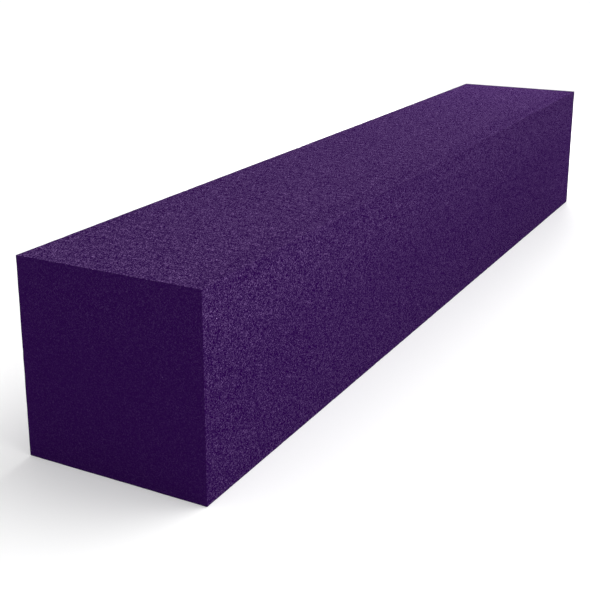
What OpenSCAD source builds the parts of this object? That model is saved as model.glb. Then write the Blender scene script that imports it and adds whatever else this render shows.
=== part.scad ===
// Floral foam block: one long, square piece of rigid open-cell foam, sawn on all six faces.
// X runs along the block, Y across it and Z up. The origin is the middle of the face it rests on.
// All sizes are in millimetres.

/* [Block] */
// Length of the block, along X
block_length = 600; // [200:10:1200]
// Width of the block, along Y
block_width = 100; // [50:5:200]
// Height of the block, along Z
block_height = 100; // [50:5:200]

/* [Edges] */
// How far sawing and handling wear back both faces of each edge
edge_wear = 0.5; // [0.2:0.1:2]

/* [Hidden] */
foam_purple = [0.26, 0.16, 0.36];

// A rectangle about the origin, with its four corners worn back.
module worn_rectangle(width, height, wear) {
    x = width / 2;
    y = height / 2;
    polygon([
        [x - wear, -y], [x, wear - y], [x, y - wear], [x - wear, y],
        [wear - x, y], [-x, y - wear], [-x, wear - y], [wear - x, -y]
    ]);
}

// A prism along X, with its four long edges worn back.
module worn_prism_x(length, width, height, wear) {
    rotate([90, 0, 90])
        linear_extrude(height = length, center = true)
            worn_rectangle(width, height, wear);
}

// A prism along Y, with its four edges across the block worn back.
module worn_prism_y(length, width, height, wear) {
    rotate([90, 0, 0])
        linear_extrude(height = width, center = true)
            worn_rectangle(length, height, wear);
}

// A prism along Z, with its four upright edges worn back.
module worn_prism_z(length, width, height, wear) {
    linear_extrude(height = height, center = true)
        worn_rectangle(length, width, wear);
}

// The block itself: six flat sawn faces, and all twelve edges worn back.
module foam_block() {
    color(foam_purple)
        translate([0, 0, block_height / 2])
            intersection() {
                worn_prism_x(block_length, block_width, block_height, edge_wear);
                worn_prism_y(block_length, block_width, block_height, edge_wear);
                worn_prism_z(block_length, block_width, block_height, edge_wear);
            }
}

foam_block();
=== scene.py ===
"""A long square block of deep purple floral foam, sawn on all six faces, on a pale studio floor.

The block is one closed mesh laid over the CAD node's box. Its saw ripples, saw lines, worn edges and
small chips are real relief, cut inward from the CAD's faces. The open cells, less than half a millimetre
across, are too fine for a mesh of this length, so the material makes them.
"""

import math

import bpy
import numpy as np
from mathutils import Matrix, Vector


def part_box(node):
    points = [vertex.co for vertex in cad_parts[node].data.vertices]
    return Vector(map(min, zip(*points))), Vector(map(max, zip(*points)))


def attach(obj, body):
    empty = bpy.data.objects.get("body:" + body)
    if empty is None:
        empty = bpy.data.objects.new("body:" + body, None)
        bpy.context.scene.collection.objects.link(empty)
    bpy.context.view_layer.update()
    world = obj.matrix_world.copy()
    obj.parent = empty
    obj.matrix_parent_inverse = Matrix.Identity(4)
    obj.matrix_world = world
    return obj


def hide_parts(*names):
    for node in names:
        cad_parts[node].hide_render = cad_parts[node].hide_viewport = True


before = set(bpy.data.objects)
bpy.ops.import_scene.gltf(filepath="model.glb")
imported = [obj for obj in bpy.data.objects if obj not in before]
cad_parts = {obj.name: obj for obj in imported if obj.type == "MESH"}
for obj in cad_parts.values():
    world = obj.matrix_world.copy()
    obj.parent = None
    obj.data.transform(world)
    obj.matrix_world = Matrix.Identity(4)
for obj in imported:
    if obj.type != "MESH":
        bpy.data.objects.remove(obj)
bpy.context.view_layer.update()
LOW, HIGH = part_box("foam_block")
CENTRE = np.array((LOW + HIGH) / 2)
HALF = np.array((HIGH - LOW) / 2)
MM = 0.001
ON_FACE = 1e-9                    # a point nearer than this to a face of the plain box lies on it

# Mesh spacing
RIPPLE_PITCH = 7.17 * MM          # from one saw ripple to the next, along the block
STEPS_PER_RIPPLE = 5
EDGE_STEPS = (0.15 * MM, 0.3 * MM, 0.5 * MM, 0.85 * MM, 1.3 * MM, 1.9 * MM)   # finer towards an edge
ACROSS_STEP = 2.1 * MM

# Relief, all of it cut inward. A step is the distance between the knots of a smooth noise.
RIPPLE_DEPTH = 0.13 * MM
RIPPLE_WANDER = 0.12              # how far a ripple wanders along the block, as a share of the pitch
WANDER_STEP = 90 * MM
RIPPLE_STRENGTH = (0.45, 1.0)     # the weakest and the strongest ripple
STRENGTH_STEP = 30 * MM
SAW_LINE_DEPTH = 0.03 * MM
SAW_LINE_STEP = 4.2 * MM
SWAY_DEPTH = 0.06 * MM            # slow departure of a sawn face from flat
SWAY_STEP = 70 * MM
GRAIN_DEPTH = 0.012 * MM
RELIEF_FADE = 1.5 * MM            # over which the marks on a face fade out towards its edges

# Worn edges
WEAR_RADIUS = (0.1 * MM, 0.3 * MM)
WEAR_STEP = 5 * MM
CHIP_COUNT = 90
CHIP_RADIUS = (0.8 * MM, 1.8 * MM)
CHIP_DEPTH = (0.05 * MM, 0.2 * MM)
CHIP_REACH = 0.9                  # the furthest chip's share of the way from an edge's middle to its end
CHIP_OUTSIDE = 0.5 * MM           # how far outside the edge a chip's centre may lie
CHIP_SQUEEZE = (0.4, 1.0)         # a lower number makes a chip longer along its edge
CHIP_FALL = 1.5                   # a higher power makes a chip's rim gentler

# Seeds of the random draws, and of the noises that are the same at the same place
DRAW_SEED = 631
WEAR_SEED, WANDER_SEED, STRENGTH_SEED, SWAY_SEED, SAW_LINE_SEED = range(1, 6)
SEED_PRIME, KNOT_PRIME, PLACE_PRIME, LAST_PRIME = 7919, 73856093, 19349663, 83492791
LARGEST_HASH = 0x7FFFFFFF

# How many pale torn cell walls show on the faces across X, Y and Z, partly the sawn finish and partly
# painted
# light and shade: many on the top and bottom, few on the ends. The two strips beside the front top edge, on
# the top
# and on the front, are painted shade: place from the edge, half width, share of walls lost.
TORN_AND_PAINTED_LIGHT = {0: 0.2, 1: 1.04, 2: 1.35}
PAINTED_SHADE_STRIPS = ((7 * MM, 6 * MM, 0.16), (3.5 * MM, 2.5 * MM, 0.1))

# Foam colours and tones, in linear light
CELL = 0.4 * MM                   # from one open cell to the next
DEEP = (0.0162, 0.0005, 0.048)    # the shaded inside of a cell
PALE = (0.273, 0.152, 0.388)      # a torn cell wall that catches the light
WALL_POWER = 4.0                  # a higher power leaves fewer cells with a pale wall
WALL_TONE = 0.362                 # the palest wall's share of the way from DEEP to PALE, where TORN_AND_PAINTED_LIGHT is 1
SMEAR = 0.013                     # paleness that the saw smears over a face with few torn walls
RIPPLE_TONE = 0.2                 # share by which a ripple's crest is paler, and its trough darker
PAINTED_TOP_LIGHT_HEIGHT = (45 * MM, 95 * MM)  # over which painted light makes the foam paler towards its top
PAINTED_TOP_LIGHT_BY = 1.44
CRUMB_SPACING = 12 * MM           # between pale crumbs of dust held in the cells
CRUMB_RADIUS = (0.15 * MM, 0.4 * MM)
CRUMB_TONE = 1.1
PORE_REACH = (0.1, 0.7)           # from a pore's floor to its rim, as shares of the cell spacing
PORE_SHADE = (0.1, 1.38)          # shares of the wall's tone on a pore's floor and on its rim; the dark floor is painted shade
PORE_DEPTH = 0.2 * MM
PORE_STRENGTH = 0.5

# Bake map: the long faces are in the first four rows, and the two ends side by side in the last
BAKE_ROWS = 5
BAKE_MARGIN = 0.006

FLOOR_HALF_SIZE = 30.0
FLOOR_GAP = 0.2 * MM

# Where Blender's Mix node keeps its colour sockets
MIX_SHARE, MIX_FIRST, MIX_SECOND, MIX_RESULT = 0, 6, 7, 2

rng = np.random.default_rng(DRAW_SEED)


def between(limits, share):
    return limits[0] + (limits[1] - limits[0]) * share


def graded_lines(half, middle_step):
    """Grid lines from -half to half: EDGE_STEPS in from each end, and even steps between."""
    inset = np.concatenate([[0.0], np.cumsum(EDGE_STEPS)])
    inner = half - inset[-1]
    count = round(2 * inner / middle_step)
    middle = np.linspace(-inner, inner, count + 1)
    return np.concatenate([inset[:-1] - half, middle, half - inset[:-1][::-1]])


def box_surface(lines):
    """A closed box of quads on three sets of grid lines.

    Returns its points, its quads, and each quad's axis and side (0 low, 1 high).
    """
    size = [len(line) for line in lines]
    index = np.full(size, -1)
    on_skin = np.zeros(size, bool)
    for axis in range(3):
        for end in (0, -1):
            on_skin[tuple(end if a == axis else slice(None) for a in range(3))] = True
    index[on_skin] = np.arange(on_skin.sum())
    grid = np.stack(np.meshgrid(*lines, indexing="ij"), -1)
    quads, quad_side = [], []
    for axis in range(3):
        for side in (0, 1):
            sheet = index.take(-side, axis)
            a, b, c, d = sheet[:-1, :-1], sheet[1:, :-1], sheet[1:, 1:], sheet[:-1, 1:]
            outward = (side == 1) != (axis == 1)
            ring = (a, b, c, d) if outward else (a, d, c, b)
            found = np.stack([corner.ravel() for corner in ring], -1)
            quads.append(found)
            quad_side.append(np.full((len(found), 2), (axis, side)))
    return grid[on_skin], np.concatenate(quads), np.concatenate(quad_side)


def smooth_noise(place, step, seed):
    """Smooth random values from 0 to 1 at places in one, two or three dimensions, with knots step apart."""
    place = np.atleast_2d(np.asarray(place, float).T).T / step
    base = np.floor(place).astype(np.int64)
    share = place - base
    share = share * share * (3 - 2 * share)
    total = np.zeros(len(place))
    for corner in np.ndindex(*(2,) * place.shape[1]):
        weight = np.prod(np.where(corner, share, 1 - share), 1)
        total += weight * knot_values(base + corner, seed)
    return total


def knot_values(knots, seed):
    """A random value from 0 to 1 for each row of whole numbers, always the same for the same row."""
    mixed = np.full(len(knots), seed * SEED_PRIME, np.int64)
    for column in knots.T:
        mixed = (mixed * KNOT_PRIME + column * PLACE_PRIME) & LARGEST_HASH
        mixed ^= mixed >> 13
        mixed = (mixed * LAST_PRIME) & LARGEST_HASH
        mixed ^= mixed >> 16
    return mixed / LARGEST_HASH


def round_edges(points):
    """Wears the edges round, by a radius that changes along them. Points are from the block's centre."""
    radius = between(WEAR_RADIUS, smooth_noise(points, WEAR_STEP, WEAR_SEED) ** 2)[:, None]
    core = np.clip(points, radius - HALF, HALF - radius)
    out = points - core
    length = np.linalg.norm(out, axis=1, keepdims=True)
    return core + out * np.where(length > 0, radius / np.maximum(length, 1e-12), 0)


def face_weights(points):
    """How far each point belongs to the faces across X, Y and Z, from 0 at an edge to 1 inside a face."""
    depth = HALF - np.abs(points)
    share = []
    for axis in range(3):
        others = np.delete(depth, axis, 1).min(1)
        share.append((depth[:, axis] < ON_FACE) * np.clip(others / RELIEF_FADE, 0, 1))
    return share


def ripple_wave(points):
    """The saw's chatter on the top and the bottom, from 0 in a trough to 1 on a crest."""
    wander = RIPPLE_WANDER * smooth_noise(points[:, :2], WANDER_STEP, WANDER_SEED)
    wave = np.sin(2 * np.pi * (points[:, 0] / RIPPLE_PITCH + wander))
    strength = between(RIPPLE_STRENGTH, smooth_noise(points[:, :2], STRENGTH_STEP, STRENGTH_SEED))
    return 0.5 + 0.5 * wave * strength


def face_relief(points):
    """Moves that cut the saw marks into each face of the plain box."""
    weights = face_weights(points)
    sway = SWAY_DEPTH * smooth_noise(points, SWAY_STEP, SWAY_SEED)
    grain = GRAIN_DEPTH * rng.random(len(points))
    saw_lines = SAW_LINE_DEPTH * smooth_noise(points[:, 2], SAW_LINE_STEP, SAW_LINE_SEED)
    ripples = RIPPLE_DEPTH * (1 - ripple_wave(points))
    move = np.zeros_like(points)
    for axis, marks in enumerate((saw_lines, saw_lines, ripples)):
        move[:, axis] = -np.sign(points[:, axis]) * weights[axis] * (sway + grain + marks)
    return move


def chip_edges(points):
    """Knocks small shallow chips out of the twelve edges."""
    moved = points.copy()
    lengths = np.repeat(2 * HALF, 4)
    signs = [(-1, -1), (-1, 1), (1, -1), (1, 1)]
    for edge in rng.choice(12, CHIP_COUNT, p=lengths / lengths.sum()):
        axis, pair = edge // 4, signs[edge % 4]
        across = [a for a in range(3) if a != axis]
        inward = np.zeros(3)
        inward[across] = -np.array(pair) / math.sqrt(2)
        centre = np.zeros(3)
        centre[axis] = rng.uniform(-CHIP_REACH, CHIP_REACH) * HALF[axis]
        centre[across] = HALF[across] * pair
        centre -= inward * rng.uniform(0, CHIP_OUTSIDE)
        radius = rng.uniform(*CHIP_RADIUS)
        squeeze = np.ones(3)
        squeeze[axis] = rng.uniform(*CHIP_SQUEEZE)
        distance = np.linalg.norm((points - centre) * squeeze, axis=1) / radius
        depth = rng.uniform(*CHIP_DEPTH) * np.clip(1 - distance ** 2, 0, None) ** CHIP_FALL
        moved += depth[:, None] * inward
    return moved


def torn_walls_and_painted_light(points):
    """How many pale walls the saw tore open each point of the plain box shows: partly the sawn finish,
    partly painted light and shade, with two strips of painted shade beside the front top edge.
    """
    on_x, on_y, on_z = (np.abs(points) > HALF - ON_FACE).T
    torn_and_lit = np.select([on_x, on_z, on_y], [TORN_AND_PAINTED_LIGHT[0], TORN_AND_PAINTED_LIGHT[2], TORN_AND_PAINTED_LIGHT[1]])
    from_front = points[:, 1] + HALF[1]
    from_top = HALF[2] - points[:, 2]
    on_either = (from_front < ON_FACE) | (from_top < ON_FACE)
    for distance, (place, half_width, loss) in zip((from_front, from_top), PAINTED_SHADE_STRIPS):
        strip = np.clip(1 - ((distance - place) / half_width) ** 2, 0, None)
        torn_and_lit *= 1 - loss * strip * on_either
    return torn_and_lit


def ripple_tone(points):
    """From -1 in a ripple's trough to 1 on its crest, and 0 on the faces that have none."""
    on_z = np.abs(points[:, 2]) > HALF[2] - ON_FACE
    return np.where(on_z, 2 * ripple_wave(points) - 1, 0)


def add_bake_map(mesh, points, quads, quad_side):
    """A UV map with every face in a place of its own, for the material to be baked into."""
    share = (points[quads] + HALF) / (2 * HALF)
    uv = np.zeros((len(quads), 4, 2))
    end_width = HALF[1] / HALF[0]
    # face's axis and side: its row, left edge and width in the map, and the axes that run across and up
    places = {(2, 1): (0, 0.0, 1.0, 0, 1), (1, 0): (1, 0.0, 1.0, 0, 2),
              (2, 0): (2, 0.0, 1.0, 0, 1), (1, 1): (3, 0.0, 1.0, 0, 2),
              (0, 0): (4, 0.0, end_width, 1, 2), (0, 1): (4, end_width, end_width, 1, 2)}
    for face, (row, left, width, across, up) in places.items():
        mine = (quad_side == face).all(1)
        room = np.array((width, 1 / BAKE_ROWS)) - 2 * BAKE_MARGIN
        corner = np.array((left, row / BAKE_ROWS)) + BAKE_MARGIN
        uv[mine] = corner + share[mine][..., (across, up)] * room
    layer = mesh.uv_layers.new(name="OFBake")
    layer.data.foreach_set("uv", uv.ravel())


def store(mesh, name, values):
    """Keeps one number for each point of the mesh, where the material can read it."""
    attribute = mesh.attributes.new(name, "FLOAT", "POINT")
    attribute.data.foreach_set("value", values.astype(np.float32))


def foam_mesh():
    """The closed mesh of the block, with its relief, its tones and its bake map."""
    steps = (RIPPLE_PITCH / STEPS_PER_RIPPLE, ACROSS_STEP, ACROSS_STEP)
    points, quads, quad_side = box_surface([graded_lines(half, step) for half, step in zip(HALF, steps)])
    shaped = chip_edges(round_edges(points) + face_relief(points)) + CENTRE
    mesh = bpy.data.meshes.new("sawn_foam_block")
    mesh.from_pydata(shaped.tolist(), [], quads.tolist())
    mesh.polygons.foreach_set("use_smooth", np.ones(len(quads), bool))
    store(mesh, "torn_and_lit", torn_walls_and_painted_light(points))
    store(mesh, "ripple", ripple_tone(points))
    add_bake_map(mesh, points, quads, quad_side)
    mesh.update()
    mesh.validate()
    return mesh


class NodeTree:
    """Short calls that add nodes to a material and wire them together."""

    def __init__(self, name):
        self.material = bpy.data.materials.new(name)
        self.material.use_nodes = True
        self.tree = self.material.node_tree
        self.tree.nodes.clear()

    def add(self, kind, inputs=None, **settings):
        node = self.tree.nodes.new("ShaderNode" + kind)
        for name, value in settings.items():
            setattr(node, name, value)
        for name, value in (inputs or {}).items():
            self.put(node.inputs[name], value)
        return node

    def put(self, socket, value):
        if isinstance(value, bpy.types.NodeSocket):
            self.tree.links.new(value, socket)
        else:
            socket.default_value = value

    def math(self, operation, *values):
        node = self.add("Math", operation=operation)
        for socket, value in zip(node.inputs, values):
            self.put(socket, value)
        return node.outputs[0]

    def spread(self, value, from_range, to_range, kind="SMOOTHSTEP"):
        """The value, carried from one range to the other."""
        names = ("From Min", "From Max", "To Min", "To Max")
        inputs = {"Value": value, **dict(zip(names, (*from_range, *to_range)))}
        return self.add("MapRange", inputs, interpolation_type=kind).outputs["Result"]

    def cells(self, place, spacing):
        return self.add("TexVoronoi", {"Vector": place, "Scale": 1 / spacing, "Randomness": 1.0})

    def mix(self, share, first, second):
        """A colour from first to second, and past it where the share is over 1."""
        node = self.add("Mix", data_type="RGBA", clamp_factor=False)
        for socket, value in ((MIX_SHARE, share), (MIX_FIRST, first), (MIX_SECOND, second)):
            self.put(node.inputs[socket], value)
        return node.outputs[MIX_RESULT]

    def surface(self, inputs):
        shader = self.add("BsdfPrincipled", inputs)
        self.add("OutputMaterial", {"Surface": shader.outputs["BSDF"]})
        return self.material


def wall_share(n, place, cells):
    """How much pale shows at each place of the foam: walls the saw tore open and crumbs of dust, with
    painted light towards the top, painted light and shade by face, and painted shade in the pores.
    """
    torn_and_lit = n.add("Attribute", attribute_name="torn_and_lit").outputs["Fac"]
    ripple = n.add("Attribute", attribute_name="ripple").outputs["Fac"]
    tone = n.add("SeparateColor", {"Color": cells.outputs["Color"]}).outputs["Red"]
    height = n.add("SeparateXYZ", {"Vector": place}).outputs["Z"]
    painted_top_light = n.spread(height, PAINTED_TOP_LIGHT_HEIGHT, (1.0, PAINTED_TOP_LIGHT_BY))
    banded = n.math("MULTIPLY_ADD", ripple, RIPPLE_TONE, 1.0)
    amount = n.math("MULTIPLY", torn_and_lit, n.math("MULTIPLY", painted_top_light, banded))
    crumb_edge = [radius / CRUMB_SPACING for radius in CRUMB_RADIUS]
    crumbs = n.spread(n.cells(place, CRUMB_SPACING).outputs["Distance"], crumb_edge, (CRUMB_TONE, 0.0))
    rim_tone = [WALL_TONE * shade for shade in PORE_SHADE]
    pore_shade_and_rim = n.spread(cells.outputs["Distance"], PORE_REACH, rim_tone)
    pale = n.math("MULTIPLY_ADD", n.math("POWER", tone, WALL_POWER), pore_shade_and_rim, crumbs)
    smear = n.spread(torn_and_lit, (TORN_AND_PAINTED_LIGHT[0], 1.0), (SMEAR, 0.0), "LINEAR")
    return n.math("MULTIPLY_ADD", pale, amount, smear)


def foam_material():
    """Open-cell foam: deep purple cells, pale walls the saw tore open between them, painted light and
    shade, and no gloss.
    """
    n = NodeTree("open_cell_foam")
    place = n.add("TexCoord").outputs["Object"]
    cells = n.cells(place, CELL)
    colour = n.mix(wall_share(n, place, cells), (*DEEP, 1), (*PALE, 1))
    pores = n.spread(cells.outputs["Distance"], PORE_REACH, (0.0, 1.0))
    bump = n.add("Bump", {"Height": pores, "Strength": PORE_STRENGTH, "Distance": PORE_DEPTH})
    return n.surface({
        "Base Color": colour, "Roughness": 0.9, "Specular IOR Level": 0.0,
        "Sheen Weight": 0.0015, "Sheen Roughness": 0.4, "Sheen Tint": (1.0, 0.9, 0.8, 1),
        "Normal": bump.outputs["Normal"]})


def floor_material():
    n = NodeTree("pale_floor")
    return n.surface({
        "Base Color": (0.88, 0.88, 0.88, 1), "Roughness": 0.9, "Specular IOR Level": 0.1,
        "Emission Color": (1, 1, 1, 1), "Emission Strength": 0.15})


def place_in_scene(name, data):
    thing = bpy.data.objects.new(name, data)
    bpy.context.scene.collection.objects.link(thing)
    return thing


def build_foam_block():
    block = place_in_scene("sawn_foam_block", foam_mesh())
    block.data.materials.append(foam_material())
    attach(block, "root")
    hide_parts("foam_block")


def build_floor():
    s = FLOOR_HALF_SIZE
    mesh = bpy.data.meshes.new("floor")
    mesh.from_pydata([(-s, -s, 0), (s, -s, 0), (s, s, 0), (-s, s, 0)], [], [(0, 1, 2, 3)])
    mesh.materials.append(floor_material())
    floor = place_in_scene("floor", mesh)
    floor.location.z = LOW.z - FLOOR_GAP


def turn(thing, direction, axis, up):
    """Turns an object so that its own axis points in the direction."""
    thing.rotation_mode = "QUATERNION"
    thing.rotation_quaternion = Vector(direction).to_track_quat(axis, up)


def add_sun(name, towards, strength, angle):
    light = bpy.data.lights.new(name, "SUN")
    light.energy = strength
    light.angle = math.radians(angle)
    turn(place_in_scene(name, light), towards, "Z", "Y")


def add_softbox(name, place, aim, size, power):
    light = bpy.data.lights.new(name, "AREA")
    light.energy = power
    light.size = size
    lamp = place_in_scene(name, light)
    lamp.location = place
    lamp.visible_camera = False
    turn(lamp, Vector(place) - Vector(aim), "Z", "Y")


def build_world(strength, seen_strength):
    """White surroundings, with one strength as light and another as the camera sees them."""
    world = bpy.data.worlds.new("studio")
    world.use_nodes = True
    tree = world.node_tree
    background = tree.nodes["Background"]
    background.inputs["Color"].default_value = (1, 1, 1, 1)
    path = tree.nodes.new("ShaderNodeLightPath")
    mixed = tree.nodes.new("ShaderNodeMix")
    mixed.inputs["A"].default_value = strength
    mixed.inputs["B"].default_value = seen_strength
    tree.links.new(path.outputs["Is Camera Ray"], mixed.inputs["Factor"])
    tree.links.new(mixed.outputs["Result"], background.inputs["Strength"])
    bpy.context.scene.world = world


def build_light():
    add_sun("key_softbox", towards=(1.0, -0.8, 1.4), strength=1.5, angle=50)
    add_softbox("front_softbox", place=(-0.35, -0.6, 0.45), aim=(-0.25, 0, 0.05), size=0.4, power=1.15)
    add_softbox("back_softbox", place=(0.65, 0.15, 0.4), aim=(0.25, 0, 0.1), size=0.3, power=2.8)
    add_softbox("end_softbox", place=(-1.1, -0.1, 0.35), aim=(-0.3, 0, 0.05), size=0.5, power=0.59)
    build_world(strength=0.65, seen_strength=1.0)
    bpy.context.scene.view_settings.view_transform = "Standard"


def build_camera():
    camera = bpy.data.cameras.new("camera")
    camera.sensor_width = 36.0
    camera.lens = 65.88
    camera.shift_y = -0.1186
    camera.clip_start = 0.01
    camera.clip_end = 100
    stand = place_in_scene("camera", camera)
    stand.location = (-0.6502, -0.2817, 0.2460)
    turn(stand, Vector((0, 0.0680, 0.0368)) - stand.location, "-Z", "Y")
    bpy.context.scene.camera = stand


build_foam_block()
build_floor()
build_light()
build_camera()
